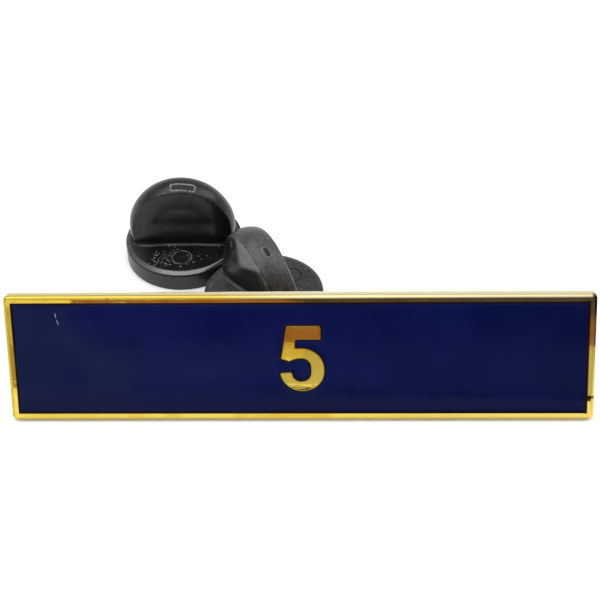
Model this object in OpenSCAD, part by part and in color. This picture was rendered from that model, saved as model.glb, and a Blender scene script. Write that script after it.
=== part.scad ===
// A gilt bar pin with an enamel field and a raised numeral, leaning back in front of its two
// rubber clutches, which have been pulled off the posts and stand on their discs behind it.
// Millimetres. X runs along the bar, -Y is the side of its face and +Z is up. The floor is
// Z = 0, and the origin is under the middle of the whole group.

/* [Bar] */
// Length of the bar from end to end
bar_length = 57; // [50:0.5:70]
// Height of the bar, measured up its face
bar_height = 13.2; // [11:0.1:16]
// Thickness of the metal at its border
bar_thickness = 1.15; // [0.9:0.05:2.4]
// Lean of the bar back from upright, in degrees
bar_lean = 18.4; // [4:0.1:30]
// Rounding of the four corners, seen from the front
corner_radius = 0.35; // [0.1:0.05:1.5]
// Bevel along the outer front edges
edge_bevel = 0.1; // [0.04:0.01:0.3]

/* [Border and enamel] */
// Width of the raised border
border_width = 0.72; // [0.4:0.02:1.5]
// Depth of the field that the enamel fills
field_depth = 0.5; // [0.2:0.05:0.7]
// Step down from the border to the enamel
enamel_drop = 0.06; // [0.01:0.01:0.15]
// Clearance between the enamel and the metal walls round it
enamel_gap = 0.02; // [0.01:0.005:0.05]

/* [Numeral] */
// Height of the raised numeral
numeral_height = 7; // [4:0.1:8.5]
// Sideways place of the numeral, from the bar's middle
numeral_shift = 0.35; // [-3:0.05:3]

/* [Posts] */
// Distance between the two posts on the back
post_spacing = 42; // [30:0.5:46]
// Diameter of a post
post_diameter = 1.1; // [0.8:0.05:1.4]
// Length of a post from the back of the bar to its point
post_length = 8; // [6:0.1:10]
// Length of the tapered point
point_length = 1.3; // [0.6:0.1:2]
// Diameter of the blunt end of the point
point_diameter = 0.4; // [0.2:0.05:0.6]
// Diameter of the pad that joins a post to the bar
pad_diameter = 3.2; // [2.2:0.1:4.5]
// Thickness of that pad
pad_thickness = 0.3; // [0.15:0.05:0.6]
// Height of the solder cone above the pad
solder_height = 0.5; // [0.2:0.05:1]
// Width of the solder round the post, at the pad
solder_width = 0.4; // [0.1:0.05:0.5]

/* [Clutch disc] */
// Radius of a clutch's round base
disc_radius = 6.2; // [5.9:0.05:7.5]
// Height of the round base
disc_height = 2.3; // [1.6:0.1:3.2]
// Rounding of the base's upper edge
lip_radius = 0.7; // [0.2:0.05:1.2]
// Bevel of the base's lower edge
heel_bevel = 0.15; // [0.05:0.05:0.4]

/* [Clutch wing] */
// Height of a clutch from the floor to the top of its wing
clutch_height = 9.65; // [9:0.05:11.5]
// Radius of the wing's round outline
wing_radius = 5.65; // [4.8:0.05:5.8]
// Thickness of the wing across the ridges that border its crest
wing_thickness = 2.75; // [2.4:0.05:3.4]
// Radius of the round crest, across the wing
crest_radius = 2.6; // [2.2:0.1:4]
// Depth of the shallow hollow in each face of the wing
hollow_depth = 0.25; // [0.05:0.05:0.4]
// Width of the slope that leads into the hollow
hollow_slope = 1.35; // [0.3:0.05:1.6]
// Width of the crest outside the hollow, seen from the side
hollow_rim = 0.65; // [0.5:0.05:1.2]
// Fillet between the wing and the base
foot_fillet = 0.3; // [0.1:0.05:0.8]

/* [Clutch bore] */
// Diameter of the blind hole that grips a post
bore_diameter = 1; // [0.7:0.05:1.2]
// Depth of the blind hole from the floor
bore_depth = 7.4; // [5:0.1:8]
// Diameter of the flared mouth of the hole
mouth_diameter = 2.4; // [1.6:0.1:4]
// Depth of the flared mouth
mouth_depth = 0.8; // [0.3:0.1:1.5]

/* [Clutch marks] */
// Diameter of the ring mark on each side of the base
ring_diameter = 2.3; // [1.2:0.1:2.6]
// Width of the ring mark's groove
ring_width = 0.18; // [0.1:0.02:0.4]
// Depth of the ring mark's groove
ring_depth = 0.08; // [0.03:0.01:0.2]
// Distance from the wing's face to the ring mark
ring_clearance = 0.95; // [0.5:0.05:1.2]

/* [Placement] */
// Space on the floor between the bar's foot and the nearer clutch
standoff = 9.65; // [8:0.1:14]
// Sideways place of the nearer clutch, from the bar's middle
near_clutch_x = -4.4; // [-9:0.05:9]
// Space between the two clutch bases
clutch_gap = 0.35; // [0.1:0.05:3]
// Direction from the nearer clutch to the farther one, in degrees from +X
pair_direction = 135; // [100:0.2:160]
// Turn of the farther clutch's wing from the bar's direction, in degrees
left_turn = 180.6; // [150:0.2:215]
// Turn of the nearer clutch's wing from the bar's direction, in degrees
right_turn = 132; // [90:0.2:160]

/* [Hidden] */
$fn = 96;
overlap = 0.05;

field_length = bar_length - 2 * border_width;
field_height = bar_height - 2 * border_width;
post_radius = post_diameter / 2;
pad_radius = pad_diameter / 2;
centre_distance = 2 * disc_radius + clutch_gap;

// The group runs from the bar's lower front edge to the back of the farther clutch
front_reach = bar_thickness * cos(bar_lean) - edge_bevel * sin(bar_lean);
back_reach = standoff + 2 * disc_radius + centre_distance * sin(pair_direction);
bar_foot_y = (front_reach - back_reach) / 2;
right_clutch_y = bar_foot_y + standoff + disc_radius;
left_clutch_x = near_clutch_x + centre_distance * cos(pair_direction);
left_clutch_y = right_clutch_y + centre_distance * sin(pair_direction);

// The wing is part of a thick wheel that stands on edge in the base
wing_half = wing_thickness / 2;
wing_centre_z = clutch_height - wing_radius;
hollow_radius = wing_radius - hollow_rim;
hollow_plane = wing_half - hollow_depth;
foot_half_length = sqrt(pow(hollow_radius, 2) - pow(wing_centre_z - disc_height, 2));

// The numeral is drawn in shares of its height, from the middle of the field
bowl_x = -0.0143;
bowl_top_y = -0.15;
bowl_bottom_y = -0.1914;
bowl_radius = 0.3143;
counter_x = -0.0236;
counter_top_y = -0.13;
counter_bottom_y = -0.2143;
counter_radius = 0.1257;
shoulder_radius = 0.32;
stem_top_left = -0.2229;
stem_top_right = -0.0914;
stem_low_right = -0.1057;
arm_right = 0.2557;
arm_low_y = 0.2821;
foot_left = [-0.3157, -0.0057];
foot_tip = [-0.19, -0.0514];
terminal_left = [-0.45, -0.2236];
terminal_right = [-0.12, -0.2014];

module rounded_plate(length, height, radius, thickness) {
  linear_extrude(thickness) {
    translate([-length / 2 + radius, 0])
      square([length - 2 * radius, height]);
    translate([-length / 2, radius])
      square([length, height - 2 * radius]);
    for (side = [-1, 1])
      for (level = [radius, height - radius])
        translate([side * (length / 2 - radius), level])
          circle(radius);
  }
}

// The part of the bowl that is open on the left, between the stem's foot and the lower end
module numeral_opening(grow) {
  intersection() {
    translate([counter_x, counter_top_y + counter_radius - shoulder_radius] * numeral_height)
      circle(shoulder_radius * numeral_height - grow);
    translate([-1, terminal_right[1]] * numeral_height)
      square([1 + counter_x, 1] * numeral_height);
  }
  polygon([
    terminal_left * numeral_height + [0, grow],
    terminal_right * numeral_height + [0, grow],
    foot_tip * numeral_height + [0, -grow],
    foot_left * numeral_height + [0, -grow],
    [terminal_left[0], foot_left[1] + 0.05] * numeral_height
  ]);
}

module numeral_counter(grow) {
  radius = counter_radius * numeral_height - grow;
  for (level = [counter_top_y, counter_bottom_y])
    translate([counter_x, level] * numeral_height)
      circle(radius);
  translate([counter_x * numeral_height - radius, counter_bottom_y * numeral_height])
    square([2 * radius, (counter_top_y - counter_bottom_y) * numeral_height]);
}

module numeral_bowl(grow) {
  radius = bowl_radius * numeral_height + grow;
  for (level = [bowl_top_y, bowl_bottom_y])
    translate([bowl_x, level] * numeral_height)
      circle(radius);
  translate([bowl_x * numeral_height - radius, bowl_bottom_y * numeral_height])
    square([2 * radius, (bowl_top_y - bowl_bottom_y) * numeral_height]);
}

// The numeral five, made wider by "grow" all round where the enamel leaves room for it
module numeral(grow) {
  top = numeral_height / 2;
  difference() {
    numeral_bowl(grow);
    numeral_counter(grow);
    numeral_opening(grow);
  }
  polygon([
    [stem_top_left * numeral_height - grow, top + grow],
    [stem_top_right * numeral_height + grow, top + grow],
    [stem_low_right * numeral_height + grow, bowl_top_y * numeral_height + bowl_radius * numeral_height / 2],
    foot_tip * numeral_height + [grow, -grow],
    foot_left * numeral_height + [-grow, -grow]
  ]);
  translate([stem_top_left * numeral_height - grow, arm_low_y * numeral_height - grow])
    square([(arm_right - stem_top_left) * numeral_height + 2 * grow, top - arm_low_y * numeral_height + 2 * grow]);
}

// Stands a plate that was drawn lying on its back against the lean, its back edge on the floor
module lean_back() {
  translate([0, bar_foot_y, 0])
    rotate([90 - bar_lean, 0, 0])
      children();
}

module edge_cutters() {
  cutter = edge_bevel * sqrt(2);
  for (side = [-1, 1])
    translate([side * bar_length / 2, bar_height / 2, bar_thickness])
      rotate([0, 45, 0])
        cube([cutter, bar_height + 2, cutter], center = true);
  for (level = [0, bar_height])
    translate([0, level, bar_thickness])
      rotate([45, 0, 0])
        cube([bar_length + 2, cutter, cutter], center = true);
}

module post() {
  solder_base = pad_thickness + solder_height;
  shank_end = post_length - point_length;
  cylinder(r = pad_radius, h = pad_thickness);
  translate([0, 0, pad_thickness])
    cylinder(r1 = post_radius + solder_width, r2 = post_radius, h = solder_height);
  translate([0, 0, -overlap])
    cylinder(r = post_radius, h = shank_end + overlap);
  translate([0, 0, shank_end])
    cylinder(r1 = post_radius, r2 = point_diameter / 2, h = point_length);
}

module bar() {
  floor_level = bar_thickness - field_depth;
  color([0.83, 0.64, 0.22])
    lean_back() {
      difference() {
        rounded_plate(bar_length, bar_height, corner_radius, bar_thickness);
        translate([-field_length / 2, border_width, floor_level])
          cube([field_length, field_height, field_depth + 1]);
        edge_cutters();
      }
      translate([numeral_shift, bar_height / 2, floor_level - overlap])
        linear_extrude(field_depth + overlap)
          numeral(0);
      for (side = [-1, 1])
        translate([side * post_spacing / 2, bar_height / 2, 0])
          rotate([180, 0, 0])
            post();
    }
}

module enamel() {
  floor_level = bar_thickness - field_depth;
  fill = field_depth - enamel_drop;
  color([0.05, 0.07, 0.28])
    lean_back()
      translate([0, bar_height / 2, floor_level])
        difference() {
          translate([-field_length / 2 + enamel_gap, -field_height / 2 + enamel_gap, 0])
            cube([field_length - 2 * enamel_gap, field_height - 2 * enamel_gap, fill]);
          translate([numeral_shift, 0, -1])
            linear_extrude(fill + 2)
              numeral(enamel_gap);
        }
}

// Half of the base's section, from its axis outwards
module disc_section() {
  square([disc_radius - heel_bevel, heel_bevel]);
  translate([disc_radius - heel_bevel, heel_bevel])
    intersection() {
      circle(heel_bevel);
      translate([0, -heel_bevel])
        square(heel_bevel);
    }
  translate([0, heel_bevel])
    square([disc_radius, disc_height - lip_radius - heel_bevel]);
  translate([0, disc_height - lip_radius - overlap])
    square([disc_radius - lip_radius, lip_radius + overlap]);
  translate([disc_radius - lip_radius, disc_height - lip_radius])
    circle(lip_radius);
}

// Half of the wheel's section, from its axis outwards. A round crest meets each face at a ridge,
// and below the ridge the face slopes into a shallow hollow
module wing_section() {
  crest_centre = wing_radius - crest_radius;
  translate([0, -hollow_plane])
    square([crest_centre, 2 * hollow_plane]);
  intersection() {
    translate([crest_centre, 0])
      circle(crest_radius);
    polygon([
      [0, -hollow_plane],
      [hollow_radius - hollow_slope, -hollow_plane],
      [hollow_radius, -wing_half],
      [wing_radius + 1, -wing_half],
      [wing_radius + 1, wing_half],
      [hollow_radius, wing_half],
      [hollow_radius - hollow_slope, hollow_plane],
      [0, hollow_plane]
    ]);
  }
}

module wing() {
  intersection() {
    translate([0, 0, wing_centre_z])
      rotate([90, 0, 0])
        rotate_extrude()
          wing_section();
    translate([-wing_radius - 1, -wing_thickness, disc_height / 2])
      cube([2 * wing_radius + 2, 2 * wing_thickness, clutch_height]);
  }
}

// Fillet strip along the foot of one face of the wing
module foot_strip() {
  translate([-foot_half_length, 0, 0])
    rotate([90, 0, 90])
      linear_extrude(2 * foot_half_length)
        difference() {
          translate([hollow_plane - overlap, disc_height - overlap])
            square(foot_fillet + overlap);
          translate([hollow_plane + foot_fillet, disc_height + foot_fillet])
            circle(foot_fillet);
        }
}

module ring_mark() {
  radius = ring_diameter / 2;
  translate([0, wing_half + ring_clearance + radius, disc_height - ring_depth])
    difference() {
      cylinder(r = radius, h = 1);
      translate([0, 0, -1])
        cylinder(r = radius - ring_width, h = 3);
    }
}

module clutch(x, y, turn) {
  translate([x, y, 0])
    rotate([0, 0, turn])
      difference() {
        union() {
          rotate_extrude()
            disc_section();
          wing();
          foot_strip();
          mirror([0, 1, 0])
            foot_strip();
        }
        translate([0, 0, -1])
          cylinder(r = bore_diameter / 2, h = bore_depth + 1);
        cylinder(r1 = mouth_diameter / 2, r2 = bore_diameter / 2, h = mouth_depth);
        ring_mark();
        mirror([0, 1, 0])
          ring_mark();
      }
}

module left_clutch() {
  color([0.06, 0.06, 0.065])
    clutch(left_clutch_x, left_clutch_y, left_turn);
}

module right_clutch() {
  color([0.07, 0.07, 0.075])
    clutch(near_clutch_x, right_clutch_y, right_turn);
}

bar();
enamel();
left_clutch();
right_clutch();
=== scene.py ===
import math

import bmesh
import bpy
from mathutils import Matrix, Vector, noise
from mathutils.geometry import delaunay_2d_cdt


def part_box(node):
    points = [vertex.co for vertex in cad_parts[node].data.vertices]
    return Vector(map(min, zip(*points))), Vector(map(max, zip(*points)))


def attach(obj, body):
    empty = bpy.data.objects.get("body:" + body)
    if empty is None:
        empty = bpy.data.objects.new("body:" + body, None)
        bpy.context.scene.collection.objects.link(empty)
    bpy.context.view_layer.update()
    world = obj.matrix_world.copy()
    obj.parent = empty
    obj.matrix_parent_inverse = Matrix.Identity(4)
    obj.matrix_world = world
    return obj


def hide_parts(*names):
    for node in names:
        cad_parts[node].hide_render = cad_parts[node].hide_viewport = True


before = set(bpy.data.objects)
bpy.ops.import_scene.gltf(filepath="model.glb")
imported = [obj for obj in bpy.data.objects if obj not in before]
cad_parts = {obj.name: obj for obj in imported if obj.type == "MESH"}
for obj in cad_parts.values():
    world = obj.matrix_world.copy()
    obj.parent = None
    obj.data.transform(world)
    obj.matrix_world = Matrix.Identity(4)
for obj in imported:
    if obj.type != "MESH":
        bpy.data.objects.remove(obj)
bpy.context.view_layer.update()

scene = bpy.context.scene
scene.view_settings.view_transform = "Standard"
noise.seed_set(7)        # without it the rubber's unevenness changes from run to run
mm = 0.001               # shapes are worked out in millimetres and stored in metres


# camera, at the photograph's angle

cameraSetup = {
    "azimuth": 3.814,    # degrees to the right of the bar's front
    "elevation": 41.464,
    "roll": -2.744,
    "distance": 180.264,                 # mm from the aim point
    "aim": (0.886, -22.371, 21.611),     # mm
    "lens": 121.8, "sensor": 36,         # mm
}


def placeCamera(setup):
    azimuth, elevation, roll = (math.radians(setup[k]) for k in ("azimuth", "elevation", "roll"))
    level = math.cos(elevation)
    back = Vector((math.sin(azimuth) * level, -math.cos(azimuth) * level, math.sin(elevation)))
    right = Vector((0, 0, 1)).cross(back).normalized()
    up = back.cross(right)
    turn = Matrix((right, up, back)).transposed() @ Matrix.Rotation(roll, 3, "Z")
    camera = bpy.data.objects.new("camera", bpy.data.cameras.new("camera"))
    scene.collection.objects.link(camera)
    stand = Vector(setup["aim"]) + back * setup["distance"]
    camera.matrix_world = Matrix.Translation(stand * mm) @ turn.to_4x4()
    camera.data.lens = setup["lens"]
    camera.data.sensor_width = setup["sensor"]
    camera.data.clip_start = 0.01
    scene.camera = camera


placeCamera(cameraSetup)
print("camera placed")


# adding nodes to a tree: every input may be a value or the socket of another node

class Nodes:
    def __init__(self, tree, zones=None):
        self.tree, self.zones = tree, zones
        self.axes = None

    def feed(self, socket, value):
        if isinstance(value, bpy.types.NodeSocket):
            self.tree.links.new(value, socket)
        else:
            socket.default_value = value

    def add(self, kind, inputs=None, **settings):
        made = self.tree.nodes.new(kind)
        for key, value in settings.items():
            setattr(made, key, value)
        for key, value in (inputs or {}).items():
            self.feed(made.inputs[key], value)
        return made

    def use(self, group, **values):
        return self.add("ShaderNodeGroup", values, node_tree=group).outputs

    def chain(self, operation, values):      # one operation over all the values in turn
        result = values[0]
        for value in values[1:]:
            result = self.add("ShaderNodeMath", {0: result, 1: value}, operation=operation).outputs[0]
        return result

    def times(self, *values):
        return self.chain("MULTIPLY", values)

    def plus(self, *values):
        return self.chain("ADD", values)

    def minus(self, *values):
        return self.chain("SUBTRACT", values)

    def most(self, *values):
        return self.chain("MAXIMUM", values)

    def vector(self, operation, first, second):
        return self.add("ShaderNodeVectorMath", {0: first, 1: second}, operation=operation).outputs

    def remap(self, value, low, high, outLow=0.0, outHigh=1.0, kind="SMOOTHSTEP"):
        inputs = {"Value": value, "From Min": low, "From Max": high, "To Min": outLow, "To Max": outHigh}
        return self.add("ShaderNodeMapRange", inputs, interpolation_type=kind, clamp=True).outputs[0]

    def blend(self, factor, first, second):
        made = self.add("ShaderNodeMix", {"Factor": factor}, data_type="RGBA")
        colours = [s for s in made.inputs if s.type == "RGBA"]      # they share their names with number sockets
        self.feed(colours[0], first)
        self.feed(colours[1], second)
        return [s for s in made.outputs if s.type == "RGBA"][0]

    def place(self):         # in object space
        return self.add("ShaderNodeTexCoord").outputs["Object"]

    def axis(self, name):
        if self.axes is None:
            self.axes = self.add("ShaderNodeSeparateXYZ", {0: self.place()}).outputs
        return self.axes["xyz".index(name)]

    def zone(self, name):    # changes between two places, in mm along one axis
        axis, start, end, *between = self.zones[name]
        return self.remap(self.axis(axis), start * mm, end * mm, *between)

    def upward(self):        # 1 where the surface is level
        normal = self.add("ShaderNodeNewGeometry").outputs["Normal"]
        return self.add("ShaderNodeSeparateXYZ", {0: normal}).outputs[2]

    def cloud(self, place, scale, detail, roughness=0.5):
        inputs = {"Vector": place, "Scale": scale, "Detail": detail, "Roughness": roughness}
        return self.add("ShaderNodeTexNoise", inputs).outputs["Fac"]

    def painted(self, name):      # a value that the mesh carries
        return self.add("ShaderNodeAttribute", attribute_name=name).outputs["Fac"]


def newGroup(name, inputs, outputs):
    tree = bpy.data.node_groups.new(name, "ShaderNodeTree")
    for key, value in inputs.items():
        kind = "NodeSocketVector" if isinstance(value, tuple) else "NodeSocketFloat"
        tree.interface.new_socket(name=key, in_out="INPUT", socket_type=kind).default_value = value
    for key in outputs:
        tree.interface.new_socket(name=key, in_out="OUTPUT", socket_type="NodeSocketFloat")
    nodes = Nodes(tree)
    return nodes, nodes.add("NodeGroupInput").outputs, nodes.add("NodeGroupOutput").inputs


def newMaterial(name, zones=None):
    material = bpy.data.materials.new(name)
    material.use_nodes = True
    nodes = Nodes(material.node_tree, zones)
    nodes.tree.nodes.clear()
    shader = nodes.add("ShaderNodeBsdfPrincipled")
    nodes.add("ShaderNodeOutputMaterial", {"Surface": shader.outputs[0]})
    return material, nodes, shader.inputs


def dress(nodes, shader, colour, rough, height, relief):      # relief is the bump's strength, and its depth in mm
    strength, depth = relief
    bump = nodes.add("ShaderNodeBump", {"Strength": strength, "Distance": depth * mm, "Height": height})
    nodes.feed(shader["Base Color"], colour)
    nodes.feed(shader["Roughness"], rough)
    nodes.feed(shader["Normal"], bump.outputs[0])


# small helpers for meshes

def addFace(bm, corners):      # leaves out a corner that comes twice, and a face of fewer than three
    single = list(dict.fromkeys(corners))
    if len(single) > 2:
        bm.faces.new(single)


def pairs(line):      # each point of a closed line with the one after it
    return zip(line, line[1:] + line[:1])


def bridge(bm, first, second):      # a closed band of faces between two rings of equal count
    for (a, b), (c, d) in zip(pairs(first), pairs(second)):
        addFace(bm, (a, b, d, c))


def bridgeAll(bm, rings):
    for first, second in zip(rings, rings[1:]):
        bridge(bm, first, second)


def newPiece(name, bm, material, place, sharpAngle=35):
    bmesh.ops.recalc_face_normals(bm, faces=bm.faces)
    for face in bm.faces:
        face.smooth = True
    bm.transform(Matrix.Scale(mm, 4))
    mesh = bpy.data.meshes.new(name)
    bm.to_mesh(mesh)
    bm.free()
    mesh.set_sharp_from_angle(angle=math.radians(sharpAngle))
    mesh.materials.append(material)
    piece = bpy.data.objects.new(name, mesh)
    scene.collection.objects.link(piece)
    piece.matrix_world = place
    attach(piece, "root")
    return piece


def smoothStep(low, high, value):
    share = min(max((value - low) / (high - low), 0.0), 1.0)
    return share * share * (3 - 2 * share)


def quarterTurn(steps, first=0):      # how far in and how far down from the top, in shares of the radius
    turns = [math.radians(90 * k / steps) for k in range(first, steps + 1)]
    return [(1 - math.cos(a), 1 - math.sin(a)) for a in turns]


# node groups for effects that several finishes share

def grainGroup():        # an uneven tone or height
    nodes, given, out = newGroup("grain", {"Scale": 400.0, "Stretch": (1, 1, 1), "Detail": 3.0}, ["Value"])
    place = nodes.vector("MULTIPLY", nodes.place(), given["Stretch"])[0]
    nodes.feed(out["Value"], nodes.cloud(place, given["Scale"], given["Detail"], 0.55))
    return nodes.tree


def wearGroup():         # rubbed edges, from how convex the mesh is, broken up by a grain
    nodes, given, out = newGroup("edgeWear", {"Low": 0.52, "High": 0.6, "Breaks": 900.0}, ["Mask", "Hollow"])
    pointed = nodes.add("ShaderNodeNewGeometry").outputs["Pointiness"]
    edge = nodes.remap(pointed, given["Low"], given["High"], kind="LINEAR")
    broken = nodes.remap(nodes.cloud(nodes.place(), given["Breaks"], 4.0), 0.36, 0.62)
    nodes.feed(out["Mask"], nodes.times(edge, broken))
    nodes.feed(out["Hollow"], nodes.remap(pointed, 0.49, 0.42))
    return nodes.tree


def dustGroup():         # fine specks that lie on what faces up
    settings = {"Scale": 2600.0, "Amount": 0.3, "Size": 0.22, "Patches": 260.0, "Upward": 0.5}
    nodes, given, out = newGroup("dust", settings, ["Mask"])
    place = nodes.place()
    cells = nodes.add("ShaderNodeTexVoronoi", {"Vector": place, "Scale": given["Scale"], "Randomness": 1.0}).outputs
    patches = nodes.remap(nodes.cloud(place, given["Patches"], 2.0), 0.38, 0.66)
    draw = nodes.add("ShaderNodeSeparateColor", {0: cells["Color"]}).outputs
    chosen = nodes.chain("LESS_THAN", (draw[0], nodes.times(given["Amount"], patches)))
    radius = nodes.times(given["Size"], nodes.plus(0.35, draw[1]))
    speck = nodes.remap(nodes.minus(radius, cells["Distance"]), 0.0, 0.08)
    facing = nodes.remap(nodes.upward(), given["Upward"], 1.0, kind="LINEAR")
    nodes.feed(out["Mask"], nodes.times(chosen, speck, facing))
    return nodes.tree


def hairlineGroup():     # thin straight scratches
    nodes, given, out = newGroup("hairlines", {"Scale": 300.0, "Stretch": (0.04, 1, 1), "Width": 0.02}, ["Mask"])
    place = nodes.place()
    bands = nodes.cloud(nodes.vector("MULTIPLY", place, given["Stretch"])[0], given["Scale"], 1.0)
    offset = nodes.chain("ABSOLUTE", (nodes.minus(bands, 0.5), 0.0))
    line = nodes.remap(offset, given["Width"], 0.0, kind="LINEAR")
    nodes.feed(out["Mask"], nodes.times(line, nodes.remap(nodes.cloud(place, 500.0, 1.0), 0.5, 0.65)))
    return nodes.tree


grain, edgeWear, dust, hairlines = grainGroup(), wearGroup(), dustGroup(), hairlineGroup()


def tone(nodes, scale, detail=3.0, stretch=(1, 1, 1)):
    return nodes.use(grain, Scale=scale, Detail=detail, Stretch=stretch)["Value"]


def segmentMask(nodes, start, end, halfWidth):     # 1 on a short straight line on the face, 0 beside it
    a, b = Vector((*start, 0)) * mm, Vector((*end, 0)) * mm
    span = b - a
    flat = nodes.vector("MULTIPLY", nodes.place(), (1, 1, 0))[0]
    fromStart = nodes.vector("SUBTRACT", flat, a)[0]
    along = nodes.vector("DOT_PRODUCT", fromStart, span / span.length_squared)["Value"]
    along = nodes.most(nodes.chain("MINIMUM", (along, 1.0)), 0.0)
    nearest = nodes.add("ShaderNodeVectorMath", {0: span, "Scale": along}, operation="SCALE").outputs[0]
    distance = nodes.vector("DISTANCE", fromStart, nearest)["Value"]
    return nodes.remap(distance, halfWidth * mm, halfWidth * 0.35 * mm)


# finishes; a zone is an axis and the two places in mm between which something changes

gildingLook = {
    "deep": (0.62, 0.43, 0.050, 1), "light": (0.71, 0.56, 0.100, 1),
    "thin": (0.68, 0.54, 0.135, 1),       # the gilding gets paler towards the right end
    "rubbed": (0.74, 0.60, 0.20, 1),      # thin gilding on the edges
    "side": (0.80, 0.72, 0.44, 1),        # the sawn and tumbled sides are paler; the same cream is painted on the top rounding as a highlight
    "rounding": (0.58, 0.41, 0.060, 1),
    "residueAndShade": (0.055, 0.022, 0.010, 1),    # dark residue in hollows and pits; also painted shade along the enamel and on the numeral's sides and edge, and a painted reflection on the right end
    "shaded": (0.034, 0.024, 0.010, 1), "copperReflection": (0.29, 0.125, 0.045, 1),      # painted reflections on the right end's rounding: dark at the top, copper below
    # painted highlight: brighter gold on the right end's rounding below the copper
    "endBright": (0.78, 0.61, 0.13, 1),
    # dark spots: the first is a painted reflection of a dark line on the right border, the second a small dark spot on
    # the top edge; ends on the face in mm, half width, strength
    "spots": [((27.75, 2.42), (28.7, 2.38), 0.24, 0.85), ((-18.45, 12.95), (-18.25, 12.95), 0.13, 0.4)],
    "roughness": 0.03, "satin": 0.34,     # polished faces, tumbled outer rounding
    "relief": (0.08, 0.02),
    "zones": {
        "side": ("z", 1.02, 0.90), "back": ("z", 0.03, 0.0),
        "thin": ("x", 4, 20), "creamHighlight": ("x", -10, 4), "topEdge": ("y", 12.6, 12.9),
        "rightRim": ("x", 27.9, 28.2), "shaded": ("y", 10.0, 11.8), "copperReflection": ("y", 7.5, 8.1),
    },
}


def gildingMaterial(name, look, plate=True):
    material, nodes, shader = newMaterial(name, look["zones"])
    times, blend, remap, zone = nodes.times, nodes.blend, nodes.remap, nodes.zone
    uneven = tone(nodes, 260.0)
    colour = blend(remap(uneven, 0.35, 0.65), look["deep"], look["light"])
    colour = blend(zone("thin"), colour, look["thin"])
    if plate:
        colour = blend(zone("side"), colour, look["side"])
    wear = nodes.use(edgeWear, Low=0.53, High=0.64, Breaks=1400.0)
    colour = blend(times(wear["Mask"], 0.3), colour, look["rubbed"])
    colour = blend(times(wear["Hollow"], 0.85), colour, look["residueAndShade"])
    # painted shade along the enamel's edge and on the numeral's sides and edge
    colour = blend(remap(nodes.painted("enamelEdgeShade"), 0.35, 0.95), colour, look["residueAndShade"])
    rounded = nodes.painted("outerRounding")
    # painted highlight: the top rounding right of the middle is cream
    roundingOrHighlight = blend(times(zone("creamHighlight"), zone("topEdge")), look["rounding"], look["side"])
    colour = blend(times(rounded, 0.85), colour, roundingOrHighlight)
    # painted reflection on the right end's rounding: dark at the top, copper lower down, brighter gold below
    endReflection = blend(zone("shaded"), look["copperReflection"], look["shaded"])
    endReflection = blend(zone("copperReflection"), look["endBright"], endReflection)
    colour = blend(times(remap(rounded, 0.1, 0.7), zone("rightRim")), colour, endReflection)
    # the first spot is a painted reflection
    for start, end, halfWidth, strength in look["spots"]:
        colour = blend(times(segmentMask(nodes, start, end, halfWidth), strength), colour, look["residueAndShade"])
    pits = nodes.use(dust, Scale=1500.0, Amount=0.05, Size=0.16, Upward=-1.5, Patches=300.0)["Mask"]
    colour = blend(times(pits, 0.7), colour, look["residueAndShade"])
    scratches = nodes.use(hairlines, Scale=900.0, Stretch=(0.05, 1, 1), Width=0.02)["Mask"]
    fine = tone(nodes, 5200.0, 2.0, (0.25, 1, 1))
    rough = nodes.plus(look["roughness"], times(remap(uneven, 0.3, 0.7), 0.02), times(rounded, look["satin"]),
                       times(scratches, 0.12), times(pits, 0.4))
    height = nodes.minus(times(fine, 0.12), times(scratches, 0.5))
    if plate:                # the struck back is stippled and dull
        bumps = nodes.add("ShaderNodeTexVoronoi", {"Vector": nodes.place(), "Scale": 3800.0}, feature="SMOOTH_F1")
        height = nodes.plus(height, times(bumps.outputs["Distance"], 7.0, zone("back")))
        rough = nodes.plus(rough, times(zone("back"), 0.22))
    shader["Metallic"].default_value = 1.0
    dress(nodes, shader, colour, rough, height, look["relief"])
    return material


enamelLook = {
    "deep": (0.0014, 0.0042, 0.043, 1), "mid": (0.0024, 0.0058, 0.054, 1), "paleReflection": (0.0056, 0.0094, 0.042, 1),
    "low": (0.0020, 0.0036, 0.026, 1),       # darker towards the lower border, and towards the right end as painted shade
    "edge": (0.0075, 0.0020, 0.0026, 1),     # painted shade along the metal, brownish
    "scratch": (0.30, 0.34, 0.46, 1),
    # one nick of two dashes: ends on the face in mm, half width
    "nicks": [((-23.53, 11.42), (-23.45, 10.98), 0.045), ((-23.38, 10.68), (-23.27, 10.26), 0.05)],
    "roughness": 0.07, "gloss": 0.06, "relief": (0.2, 0.03),
    "zones": {"paleReflection": ("x", -12, -28), "lower": ("y", 4.5, 0.8), "right": ("x", 12, 28)},
}


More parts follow.
